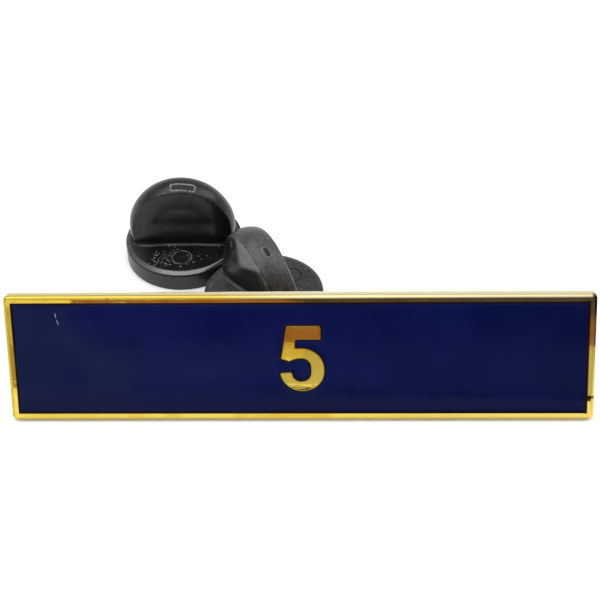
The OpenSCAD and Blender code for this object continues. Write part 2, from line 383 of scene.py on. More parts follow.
def enamelMaterial(name, look):
    material, nodes, shader = newMaterial(name, look["zones"])
    times, blend, remap, zone = nodes.times, nodes.blend, nodes.remap, nodes.zone
    mottle, cloudy = tone(nodes, 150.0, 4.0), tone(nodes, 60.0, 2.0, (1, 2, 1))
    colour = blend(remap(mottle, 0.35, 0.65), look["deep"], look["mid"])
    # painted reflection: the enamel is paler and greyer to the left
    colour = blend(times(zone("paleReflection"), remap(cloudy, 0.3, 0.6)), colour, look["paleReflection"])
    colour = blend(nodes.most(times(zone("lower"), 0.6), times(zone("right"), 0.45)), colour, look["low"])
    # painted shade along the metal
    colour = blend(remap(nodes.painted("metalCloseness"), 0.30, 0.72), colour, look["edge"])
    nick = nodes.most(*(segmentMask(nodes, *dash) for dash in look["nicks"]))
    nick = times(nick, remap(tone(nodes, 9000.0, 1.0), 0.3, 0.5))
    specks = nodes.use(dust, Scale=1300.0, Amount=0.045, Size=0.12, Upward=-0.6, Patches=200.0)["Mask"]
    colour = blend(times(specks, 0.2), colour, look["scratch"])
    colour = blend(nick, colour, look["scratch"])
    scratches = nodes.use(hairlines, Scale=420.0, Stretch=(0.3, 1, 1), Width=0.006)["Mask"]
    rough = nodes.plus(look["roughness"], times(remap(mottle, 0.3, 0.7), 0.05),
                       times(nick, 0.6), times(scratches, 0.15))
    height = nodes.minus(times(tone(nodes, 700.0, 2.0), 0.6), times(nick, 0.8))
    shader["Specular IOR Level"].default_value = look["gloss"]
    dress(nodes, shader, colour, rough, height, look["relief"])
    return material


rubberLook = {
    "dark": (0.0024, 0.0026, 0.0032, 1), "brownish": (0.0050, 0.0041, 0.0036, 1),
    "bloomAndLitWall": (0.030, 0.030, 0.031, 1),    # the grey haze that rubber gets where it is handled; also painted light on one side of the disc's wall
    "edgeRub": (0.030, 0.030, 0.031, 1), "ringDust": 0.32,
    "dust": (0.192, 0.196, 0.216, 1), "crumbs": (0.40, 0.41, 0.44, 1),
    "lipWearAndHighlight": (0.18, 0.18, 0.184, 1),     # the lip is rubbed grey, and painted with a highlight that narrows and fades towards one side
    # dust on the pad's rim; painted shade in recesses
    "padRim": (0.30, 0.30, 0.29, 1), "shadedRecess": (0.0060, 0.0064, 0.0056, 1),
    "roughness": 0.19, "gloss": 0.36, "rimRub": 1.0, "relief": (0.3, 0.04),
    "film": 0.0,                          # a dusty grey coat on what faces up
    "litSmear": 0.0,                         # a dusty smear and painted highlight on one face of the grip, above a slanting shadow line
    "smearSlope": 0.64, "smearLine": (6.0, 6.7),      # its slope, and the levels between which it starts
    "dustAmount": 0.5,
    "dustSpot": (2.2, 3.7, 2.3),          # where crumbs gathered, in mm
    "gathered": (2.0, 0.8),               # fades out and is thickest at so many mm from there
    # a zone runs from 0 to 1, or from and to the two values after its places
    "zones": {
        "handled": ("z", 6.5, 9.6), "edges": ("z", 2.8, 4.8, 0.4, 0.9),
        # the disc's wall is lighter on one side as painted light
        "wall": ("z", 2.0, 1.6), "litWallSide": ("x", -4.5, -1.0, 0.0, 0.5),
        "farEnd": ("x", 2.8, 5.6), "farFoot": ("z", 3.0, 2.4),
        "filmTop": ("z", 5.2, 7.6, 0.12, 1.0), "filmBase": ("z", 3.6, 2.8, 0.12, 0.55),
        "filmSide": ("y", 2.2, 0.9, 0.3, 1.0), "filmCrest": ("z", 7.8, 9.0), "base": ("z", 3.6, 2.8),
        "smearEnd": ("x", 2.7, 1.5), "smearFace": ("y", 0.8, 1.2), "disc": ("z", 3.4, 2.4),
        # how wide the lip's painted highlight is, and where it fades
        "lipWidth": ("x", -4.2, -1.2, 0.40, 1.3), "lipFade": ("x", 0.8, 3.8, 1.0, 0.2),
    },
}


def rubberMaterial(name, look):
    material, nodes, shader = newMaterial(name, look["zones"])
    times, plus, most, blend, remap, zone = nodes.times, nodes.plus, nodes.most, nodes.blend, nodes.remap, nodes.zone
    cloudy, speckle, patches = tone(nodes, 240.0), tone(nodes, 5600.0), tone(nodes, 2300.0, 4.0)
    rim, inside, groove, lip = (nodes.painted(n) for n in ("padRim", "shadedRecess", "groove", "lip"))
    upward = nodes.upward()

    # bloom where it is handled, painted light on one side of the disc's wall, rubbed edges
    colour = blend(remap(cloudy, 0.35, 0.65), look["dark"], look["brownish"])
    wear = nodes.use(edgeWear, Low=0.505, High=0.56, Breaks=1500.0)["Mask"]
    handled = times(zone("handled"), remap(cloudy, 0.25, 0.6), 0.35)
    bloomAndLitWall = most(handled, times(zone("wall"), zone("litWallSide")), times(zone("farEnd"), zone("farFoot"), 0.75))
    colour = blend(bloomAndLitWall, colour, look["bloomAndLitWall"])
    colour = blend(times(wear, zone("edges")), colour, look["edgeRub"])

    # a film of dust, more of it near the top and to one side, and a smear that is partly a painted highlight
    film = times(remap(upward, 0.2, 0.9), remap(speckle, 0.22, 0.62, 0.45, 1.0), remap(patches, 0.36, 0.60, 0.5, 1.0),
                 most(zone("filmTop"), zone("filmBase")), most(zone("filmSide"), zone("filmCrest"), zone("base")),
                 look["film"])
    slant = plus(nodes.axis("z"), times(nodes.axis("x"), look["smearSlope"]))
    start, full = look["smearLine"]
    # painted highlight with dust on one face, above a slanting shadow line
    litSmear = times(zone("smearEnd"), zone("smearFace"), remap(slant, start * mm, full * mm),
                  remap(upward, 0.5, 0.2), remap(speckle, 0.25, 0.6, 0.7, 1.0), look["litSmear"])
    film = most(film, litSmear)
    colour = blend(film, colour, look["dust"])

    # crumbs and lint; dust settles on the disc first
    away = nodes.vector("DISTANCE", nodes.place(), Vector(look["dustSpot"]) * mm)["Value"]
    near, core = look["gathered"]
    gathered = remap(away, near * mm, core * mm, 0.25, 2.4)
    thick = plus(0.15 * look["dustAmount"], times(zone("disc"), gathered, look["dustAmount"]))
    crumbs = nodes.use(dust, Scale=6200.0, Amount=thick, Size=0.28, Upward=0.1, Patches=380.0)["Mask"]
    lint = nodes.use(dust, Scale=2400.0, Amount=times(thick, 0.25), Size=0.14, Upward=-0.4, Patches=300.0)["Mask"]
    specks = most(crumbs, lint)
    colour = blend(specks, colour, look["crumbs"])

    # lip, ring marks and pad; the ring grooves, the undercut below the lip and the pad's sunk middle are painted dark
    # as shade
    # painted highlight on the lip, narrower and fading towards one side
    rubbedTo = zone("lipWidth")
    outside = remap(lip, rubbedTo, nodes.minus(rubbedTo, 0.18), kind="LINEAR")
    lip = times(remap(lip, 0.04, 0.24), outside, remap(cloudy, 0.3, 0.6, 0.5, 1.0), zone("lipFade"))
    colour = blend(lip, colour, look["lipWearAndHighlight"])
    # painted shade in the recesses
    inside = most(inside, groove)
    colour = blend(inside, colour, look["shadedRecess"])
    colour = blend(times(groove, remap(speckle, 0.44, 0.56), look["ringDust"]), colour, look["crumbs"])
    colour = blend(times(rim, remap(speckle, 0.40, 0.56, 0.1, look["rimRub"])), colour, look["padRim"])

    skin, ripple = tone(nodes, 4200.0), tone(nodes, 900.0, 2.0, (1, 1, 2))
    rough = plus(look["roughness"], times(remap(cloudy, 0.3, 0.7), 0.1), times(bloomAndLitWall, 0.12), times(film, 0.3),
                 times(inside, 0.35), times(specks, 0.4))
    height = plus(times(skin, 0.35), times(ripple, 0.8), times(specks, 0.6))
    shader["Specular IOR Level"].default_value = look["gloss"]
    dress(nodes, shader, colour, rough, height, look["relief"])
    return material


solderLook = {
    "bright": (0.62, 0.58, 0.50, 1), "dull": (0.40, 0.34, 0.24, 1),
    "roughness": 0.32, "relief": (0.4, 0.06),
}


def solderMaterial(name, look):
    material, nodes, shader = newMaterial(name)
    cloudy = tone(nodes, 1100.0)
    wear = nodes.use(edgeWear, Low=0.51, High=0.58, Breaks=2200.0)["Mask"]
    colour = nodes.blend(nodes.remap(cloudy, 0.35, 0.65), look["dull"], look["bright"])
    colour = nodes.blend(wear, colour, look["bright"])
    shader["Metallic"].default_value = 1.0
    rough = nodes.plus(look["roughness"], nodes.times(cloudy, 0.2))
    dress(nodes, shader, colour, rough, cloudy, look["relief"])
    return material


nearLook = rubberLook | {
    "roughness": 0.24, "gloss": 0.42, "film": 0.28, "litSmear": 0.95, "dustAmount": 0.3, "ringDust": 0.0,
    "rimRub": 0.2, "edgeRub": (0.12, 0.12, 0.123, 1), "lipWearAndHighlight": (0.03, 0.03, 0.031, 1),
}
plateGilding = gildingMaterial("plateGilding", gildingLook)
postGilding = gildingMaterial("postGilding", gildingLook | {"roughness": 0.2}, plate=False)
navyEnamel = enamelMaterial("navyEnamel", enamelLook)
farRubber = rubberMaterial("farRubber", rubberLook)
nearRubber = rubberMaterial("nearRubber", nearLook)
dullSolder = solderMaterial("dullSolder", solderLook)
print("finishes made")


# the bar: x along it, y up its face, z out of its face

barForm = {
    "length": 57.0, "height": 13.2, "thickness": 1.15,
    "lean": 18.4,            # degrees back from upright
    "footY": -15.003,        # where its lower back edge meets the floor
    "corner": 0.5, "outerRound": 0.27, "innerRound": 0.04, "backRound": 0.07,
    "border": 0.72, "fieldDepth": 0.5,
    "flatRings": (0.36, 0.48, 0.58, 0.66, 0.675),      # where they run on the flat of the border
    "strip": 0.11,           # width of the painted shade along the enamel
    "rightShadeStrip": 0.25, "rightReach": 1.2,      # it is wider at the right end
    "polishWaves": 0.002,    # unevenness that the polishing wheel left
}
barTurn = Matrix.Rotation(math.radians(90 - barForm["lean"]), 4, "X")
barPlace = Matrix.Translation((0, barForm["footY"] * mm, 0)) @ barTurn

numeralForm = {
    "height": 7.0, "shift": 0.35, "edgeRound": 0.11, "edgeShadeReach": 0.3, "corner": 0.18,
    # in shares of the height, from the middle of the field
    "bowl": (-0.0143, -0.15, -0.1914, 0.3143),       # centre, upper and lower level, radius
    "counter": (-0.0236, -0.13, -0.2143, 0.1257),
    "shoulder": 0.32,
    "stem": ((-0.2229, 0.5), (-0.0914, 0.5), (-0.1057, 0.00715)),
    "arm": (0.2557, 0.2821),
    "foot": ((-0.3157, -0.0057), (-0.19, -0.0514)),
    "terminal": ((-0.45, -0.2236), (-0.12, -0.2014)),
}


def arcPoints(x, y, radius, start, end, step=6.0):
    count = max(2, round(abs(end - start) / step))
    turns = [math.radians(start + (end - start) * i / count) for i in range(count + 1)]
    return [(x + radius * math.cos(a), y + radius * math.sin(a)) for a in turns]


def directionsAt(line, i):      # into a point of a closed line and out of it
    return (line[i] - line[i - 1]).normalized(), (line[(i + 1) % len(line)] - line[i]).normalized()


def roundCorners(points, radius, steps=5):      # a curve in place of every corner that turns more than 30 degrees
    rounded = []
    for i, here in enumerate(points):
        before, after = directionsAt(points, i)
        turn = abs(before.angle_signed(after, 0.0))
        if turn < math.radians(30):
            rounded.append(here)
            continue
        reach = radius * math.tan(turn / 2)
        start, end = here - before * reach, here + after * reach
        for share in (k / steps for k in range(steps + 1)):      # runs through both ends and leans on the corner
            rounded.append(start.lerp(here, share).lerp(here.lerp(end, share), share))
    return rounded


def numeralOutline(form, spacing=0.28):      # the numeral five as one closed line, in mm on the face
    x, high, low, radius = form["bowl"]
    cx, cHigh, cLow, cRadius = form["counter"]
    (stemLeft, top), (stemRight, _), (stemLow, stemEnd) = form["stem"]
    armRight, armLow = form["arm"]
    lean = (stemLow - stemRight) / (top - stemEnd)

    def stemAt(level):
        return stemRight + lean * (top - level)

    meet = 0.15                              # where the stem's right edge runs into the bowl
    for _ in range(20):
        meet = high + math.sqrt(radius ** 2 - (stemAt(meet) - x) ** 2)
    startAngle = math.degrees(math.atan2(meet - high, stemAt(meet) - x))
    (tx0, ty0), (tx1, ty1) = form["terminal"]
    slope = (ty1 - ty0) / (tx1 - tx0)
    left = x - radius
    for _ in range(20):
        left = x - math.sqrt(radius ** 2 - (ty0 + slope * (left - tx0) - low) ** 2)
    endAngle = -360 + math.degrees(math.atan2(ty0 + slope * (left - tx0) - low, left - x)) % 360
    (footX, footY), (tipX, tipY) = form["foot"]
    shoulderY = cHigh + cRadius - form["shoulder"]
    tipAngle = math.degrees(math.atan2(tipY - shoulderY, tipX - cx))
    path = [(stemLeft, top), (armRight, top), (armRight, armLow), (stemAt(armLow), armLow)]
    path += arcPoints(x, high, radius, startAngle, 0) + arcPoints(x, low, radius, 0, endAngle)
    path += [(cx - cRadius, ty0 + slope * (cx - cRadius - tx0))]
    path += arcPoints(cx, cLow, cRadius, 180, 360) + arcPoints(cx, cHigh, cRadius, 0, 90)
    path += arcPoints(cx, shoulderY, form["shoulder"], 90, tipAngle)[1:]
    path += [(footX, footY)]
    size, middle = form["height"], barForm["height"] / 2
    points = [Vector((px * size + form["shift"], py * size + middle)) for px, py in path]
    points = [p for p, before in zip(points, points[-1:] + points[:-1]) if (p - before).length > 1e-3]
    line = []
    for here, after in pairs(roundCorners(points, form["corner"])):
        gap = (after - here).length
        if gap > 1e-4:
            parts = max(1, math.ceil(gap / spacing))
            line += [here.lerp(after, i / parts) for i in range(parts)]
    return line


def offsetLine(line, amount):      # moves a closed line sideways, to its right for amounts above 0
    moved = []
    for i, here in enumerate(line):
        before, after = directionsAt(line, i)
        sideBefore, sideAfter = Vector((before.y, -before.x)), Vector((after.y, -after.x))
        middle = (sideBefore + sideAfter).normalized()
        moved.append(here + middle * (amount / max(middle.dot(sideAfter), 0.45)))
    return moved


def plateLine(form, inset, spacing=0.6):     # the plate's outline at an inset, always the same count of points
    halfLength, high, low = form["length"] / 2 - inset, form["height"] - inset, inset
    radius = max(form["corner"] - inset, 0.04)
    right, top, bottom = halfLength - radius, high - radius, low + radius
    corners = ((right, bottom, -90), (right, top, 0), (-right, top, 90), (-right, bottom, 180))
    arcs = [[Vector(p) for p in arcPoints(x, y, radius, turn, turn + 90, 15)] for x, y, turn in corners]
    line = []
    for (arc, following), side in zip(pairs(arcs), ("height", "length") * 2):
        parts = round(form[side] / spacing)
        line += arc + [arc[-1].lerp(following[0], k / parts) for k in range(1, parts)]
    return line


def polishWave(form, x, y, seed=0.0):
    wide, narrow = noise.noise((x * 0.45, y * 0.6, seed)), noise.noise((x * 1.5, y * 1.5, seed + 7))
    return form["polishWaves"] * (wide + 0.4 * narrow)


def addRing(bm, line, level):
    return [bm.verts.new((p.x, p.y, level)) for p in line]


def fillPlate(bm, outer, holes, loose, levelAt, neat=True):     # fills between rings that exist, through loose points
    points, edges, owners = [], [], []
    for ring in [outer] + holes:
        first = len(points)
        for i, vert in enumerate(ring):
            points.append(vert.co.xy)
            owners.append(vert)
            edges.append((first + i, first + (i + 1) % len(ring)))
    found, _, triangles, origins, _, _ = delaunay_2d_cdt(points + loose, edges, [], 4, 1e-6)
    verts = []
    for place, ids in zip(found, origins):
        owned = [owners[k] for k in ids if k < len(owners)]
        verts.append(owned[0] if owned else bm.verts.new((place.x, place.y, levelAt(place))))
    made = []
    for triangle in triangles:
        corners = [verts[k] for k in triangle]
        if len(set(corners)) == 3:
            made.append(bm.faces.new(corners))
    if neat:
        bmesh.ops.join_triangles(bm, faces=made, angle_face_threshold=0.2, angle_shape_threshold=0.35)
    for vert in set(verts):
        if vert.is_valid and not vert.link_faces:
            bm.verts.remove(vert)


def gridPoints(left, right, low, high, spacing):
    across, up = max(1, round((right - left) / spacing)), max(1, round((high - low) / spacing))
    xs = [left + (right - left) * i / across for i in range(across + 1)]
    ys = [low + (high - low) * j / up for j in range(up + 1)]
    return [Vector((x, y)) for x in xs for y in ys]


def extent(line, margin=0.0):
    xs, ys = [p.x for p in line], [p.y for p in line]
    return min(xs) - margin, max(xs) + margin, min(ys) - margin, max(ys) + margin


def insideLine(point, line):
    inside = False
    for a, b in pairs(line):
        if (a.y > point.y) != (b.y > point.y) and point.x < (b.x - a.x) * (point.y - a.y) / (b.y - a.y) + a.x:
            inside = not inside
    return inside


def distanceToLine(point, line):
    best = 1e9
    for a, b in pairs(line):
        span = b - a
        share = min(max((point - a).dot(span) / span.length_squared, 0.0), 1.0)
        best = min(best, (point - a - span * share).length_squared)
    return math.sqrt(best)


fiveLine = numeralOutline(numeralForm)
fiveArea = sum(a.x * b.y - b.x * a.y for a, b in pairs(fiveLine)) / 2
fiveOutward = 1 if fiveArea > 0 else -1      # which way offsetLine grows the numeral


def buildPlate(form, numeral):
    bm = bmesh.new()
    enamelEdgeShade, rounded = (bm.verts.layers.float.new(n) for n in ("enamelEdgeShade", "outerRounding"))
    top, floor = form["thickness"], form["thickness"] - form["fieldDepth"]
    outer, inner, backEdge = form["outerRound"], form["innerRound"], form["backRound"]
    border, halfLength = form["border"], form["length"] / 2
    profile = [(backEdge, 0.0), (backEdge * 0.3, backEdge * 0.25), (0.0, backEdge)]
    profile += [(0.0, backEdge + (top - outer - backEdge) * k / 4) for k in range(1, 4)]
    profile += [(outer * aside, top - outer * down) for aside, down in quarterTurn(9)]
    profile += [(place, top) for place in form["flatRings"]]
    profile += [(border - inner * down, top - inner * aside) for aside, down in quarterTurn(6)]
    profile += [(border, floor)]
    rings = []
    for inset, level in profile:
        ring = addRing(bm, plateLine(form, inset), level)
        for vert in ring:
            # a strip of painted shade along the enamel, wider at the right end
            width = form["strip"] if vert.co.x < halfLength - form["rightReach"] else form["rightShadeStrip"]
            beside = smoothStep(border - width, border - 0.005, inset)
            outside = 1 - smoothStep(outer * 0.75, outer * 1.3, inset)
            vert[enamelEdgeShade] = beside if level > floor - 0.01 else 0.0
            vert[rounded] = outside if level > top - outer * 1.3 else 0.3
            if level > top - outer * 0.6:
                vert.co.z += polishWave(form, vert.co.x, vert.co.y)
        rings.append(ring)
    bridgeAll(bm, rings)
    backPoints = gridPoints(-halfLength + 0.8, halfLength - 0.8, 0.8, form["height"] - 0.8, 0.8)
    fillPlate(bm, rings[0], [], backPoints, lambda p: 0.0)

    rounding = numeral["edgeRound"]
    steps = [(0.0, floor), (0.0, top - rounding)]
    steps += [(-rounding * aside, top - rounding * down) for aside, down in quarterTurn(5, first=1)]
    fiveRings = [addRing(bm, offsetLine(fiveLine, grow * fiveOutward), level) for grow, level in steps]
    # the numeral's sides are painted dark as shade
    for k, ring in enumerate(fiveRings):
        for vert in ring:
            vert[enamelEdgeShade] = max(1.0 - max(k - 1, 0) * 0.08, 0.62)
    topLine = offsetLine(fiveLine, -(rounding + 0.015) * fiveOutward)      # a level band keeps the flat's shading true
    fiveRings.append(addRing(bm, topLine, top))
    bridgeAll(bm, fiveRings)
    grid = gridPoints(*extent(topLine), 0.15)
    loose = [p for p in grid if insideLine(p, topLine) and distanceToLine(p, topLine) > 0.08]
    before = set(bm.verts)
    fillPlate(bm, fiveRings[-1], [], loose, lambda p: top + 0.2 * polishWave(form, p.x, p.y, 3.0))
    for vert in (set(bm.verts) - before) | set(fiveRings[-1]):      # painted shade darkens the numeral's top towards its edge
        vert[enamelEdgeShade] = 0.62 - 0.3 * smoothStep(0.0, numeral["edgeShadeReach"], distanceToLine(vert.co.xy, fiveLine))
    fillPlate(bm, rings[-1], [fiveRings[0]], [], lambda p: floor, neat=False)
    return bm


enamelForm = {
    "gap": 0.02,                                      # to the metal
    "drop": 0.06,                                     # below the border's top
    "rise": 0.045, "reach": 0.16,                     # how the glaze creeps up at the metal
    "waves": 0.006,
    "borderShade": 0.22, "numeralShade": 0.15,        # the painted shade is thinner along the numeral
}


def buildEnamel(form, glaze):
    bm = bmesh.new()
    gap, top, floor = glaze["gap"], form["thickness"] - glaze["drop"], form["thickness"] - form["fieldDepth"]
    left, low = -form["length"] / 2 + form["border"] + gap, form["border"] + gap
    right, high = -left, form["height"] - low
    fieldLine = []
    for (ax, ay), (bx, by) in pairs([(left, low), (right, low), (right, high), (left, high)]):
        parts = round(math.hypot(bx - ax, by - ay) / 0.3)
        fieldLine += [Vector((ax + (bx - ax) * k / parts, ay + (by - ay) * k / parts)) for k in range(parts)]
    holeLine = offsetLine(fiveLine, gap * fiveOutward)
    west, east, south, north = extent(holeLine, 0.7)

    def borderDistance(p):
        return min(p.x - left, right - p.x, p.y - low, high - p.y)

    def edgeDistance(p):
        if west < p.x < east and south < p.y < north:
            return min(borderDistance(p), distanceToLine(p, holeLine))
        return borderDistance(p)

    def levelAt(p):
        waves = glaze["waves"] * noise.noise((p.x * 0.25, p.y * 0.3, 4.0))
        return top + glaze["rise"] * math.exp(-edgeDistance(p) / glaze["reach"]) + waves

    loose = []
    for inset in (0.05, 0.11, 0.19, 0.3):
        rows = offsetLine(fieldLine, -inset) + offsetLine(fiveLine, (gap + inset) * fiveOutward)
        loose += [p for p in rows if edgeDistance(p) > inset * 0.8 and not insideLine(p, holeLine)]
    grid = gridPoints(left + 0.5, right - 0.5, low + 0.5, high - 0.5, 0.4)
    loose += [p for p in grid if edgeDistance(p) > 0.42 and not insideLine(p, holeLine)]
    tops = [[bm.verts.new((p.x, p.y, levelAt(p))) for p in line] for line in (fieldLine, holeLine)]
    feet = [addRing(bm, line, floor) for line in (fieldLine, holeLine)]
    for upper, lower in zip(tops, feet):
        bridge(bm, upper, lower)
    fillPlate(bm, tops[0], [tops[1]], loose, levelAt)
    fillPlate(bm, feet[0], [feet[1]], [], lambda p: floor, neat=False)
    closeness = bm.verts.layers.float.new("metalCloseness")
    for vert in bm.verts:
        border, edge = (max(distance(vert.co.xy), 0.0) for distance in (borderDistance, edgeDistance))
        vert[closeness] = max(math.exp(-border / glaze["borderShade"]), 0.9 * math.exp(-edge / glaze["numeralShade"]))
    return bm


giltBar = newPiece("giltBar", buildPlate(barForm, numeralForm), plateGilding, barPlace, sharpAngle=40)
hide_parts("bar")
enamelField = newPiece("enamelField", buildEnamel(barForm, enamelForm), navyEnamel, barPlace, sharpAngle=50)
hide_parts("enamel")
print("bar and enamel built")


# posts on the back, each with its pad and solder

postForm = {
    "spacing": 42.0, "radius": 0.55, "length": 8.0, "point": 1.3, "pointRadius": 0.2,
    "padRadius": 1.6, "padThickness": 0.3, "solderHeight": 0.5, "solderWidth": 0.4,
    # the bead at the pad: how far out from its edge, level
    "bead": [(-0.12, -0.03), (0.34, -0.03), (0.30, 0.05), (0.19, 0.12), (0.08, 0.18), (0.0, 0.24), (-0.12, 0.25)],
    "steps": 64,
}


def turnProfile(profile, steps):      # a closed turned body whose profile starts and ends on the axis
    bm = bmesh.new()
    turns = [2 * math.pi * k / steps for k in range(steps)]
    rings = []
    for radius, level in profile[1:-1]:
        rings.append([bm.verts.new((radius * math.cos(a), radius * math.sin(a), level)) for a in turns])
    bridgeAll(bm, rings)
    for (_, level), ring in ((profile[0], rings[0]), (profile[-1], rings[-1])):
        centre = bm.verts.new((0, 0, level))
        for first, second in pairs(ring):
            bm.faces.new((first, second, centre))
    return bm


def buildPost(form):
    r, pad, thick, tip = form["radius"], form["padRadius"], form["padThickness"], form["pointRadius"]
    wide, tall, shank, end = form["solderWidth"], form["solderHeight"], form["length"] - form["point"], form["length"]
    profile = [(0, -0.04), (pad - 0.05, -0.04), (pad, 0.0), (pad, thick - 0.08), (pad - 0.03, thick - 0.02)]
    profile += [(pad - 0.09, thick), (r + wide + 0.15, thick)]
    profile += [(r + wide * down, thick + 0.01 + tall * aside) for aside, down in quarterTurn(7)]
    profile += [(r, shank * share) for share in (0.25, 0.5, 0.75, 0.97)]
    profile += [(r - 0.01, shank), (r - 0.04, shank + 0.12)]
    profile += [(r + (tip - r) * share, shank + form["point"] * share) for share in (0.35, 0.7, 0.93)]
    profile += [(tip * 0.8, end - 0.03), (tip * 0.45, end - 0.005), (0, end)]
    return turnProfile(profile, form["steps"])


def buildSolder(form, seed):       # the bead that ran out from under the pad
    bm = bmesh.new()
    rings = []
    for k in range(form["steps"]):
        angle = 2 * math.pi * k / form["steps"]
        swell = 0.75 + 0.6 * noise.noise((math.cos(angle) * 1.3, math.sin(angle) * 1.3, seed))
        ring = []
        for out, level in form["bead"]:
            radius = form["padRadius"] + (out * swell if out > 0 else out)
            height = level * (0.6 + 0.4 * swell) if level > 0 else level
            ring.append(bm.verts.new((radius * math.cos(angle), radius * math.sin(angle), height)))
        rings.append(ring)
    bridgeAll(bm, rings + rings[:1])
    return bm


for name, side in (("left", -1), ("right", 1)):
    offset = Matrix.Translation((side * postForm["spacing"] / 2 * mm, barForm["height"] / 2 * mm, 0))
    postPlace = barPlace @ offset @ Matrix.Rotation(math.pi, 4, "X")
    post = newPiece(name + "Post", buildPost(postForm), postGilding, postPlace)
    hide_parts("bar")
    solder = newPiece(name + "Solder", buildSolder(postForm, 5.0 + side), dullSolder, postPlace, sharpAngle=60)
    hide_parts("bar")
print("posts and solder built")


# rubber clutches: x along the wing, z up

clutchForm = {
    "discRadius": 6.2, "discTop": 2.3,
    "lipStart": 5.72, "lipDrop": 0.2, "undercut": 0.09, "heel": 0.12,
    "wheelCentre": 4.0, "wheelRadius": 5.65,
    "crestCurve": 2.6, "ridgeTurn": 28.0, "ridgeRound": 0.3,      # a broad crest between two ridges
    "hollowHalf": 1.16, "hollowSlope": 2.2, "hollowLean": 14.0, "hollowFade": (1.2, 4.2),
    "taper": 0.2,            # how much thinner the wing gets at its ends
    "flare": 0.22, "flareTop": 5.2,          # how much thicker it gets at its foot, and from what level
    "footFillet": 0.32, "filletFade": (3.9, 5.1), "endReach": 4.1,
    "ringRadius": 1.13, "ringWidth": 0.18, "ringDepth": 0.09,
    "boreRadius": 0.5, "boreDepth": 7.4, "mouthRadius": 1.2, "mouthDepth": 0.8,
    "faceRows": 24, "flatRings": 24,
    "wobble": 0.02,
    "bendTop": 6.4, "bulgeLevels": (4.4, 5.6, 8.6),
}
markForm = {"halfWidth": 0.4, "corner": 0.2, "rib": 0.07, "height": 0.06, "sunk": 0.03}


def gradedSteps(start, end, fineStart, fineEnd, fine, coarse):
    places, here = [start], start
    while here < end:
        gap = max(fineStart - here, here - fineEnd, 0.0)
        here += min(fine + gap * 0.3, coarse)
        places.append(here)
    scale = (end - start) / (places[-1] - start)
    return [start + (p - start) * scale for p in places]


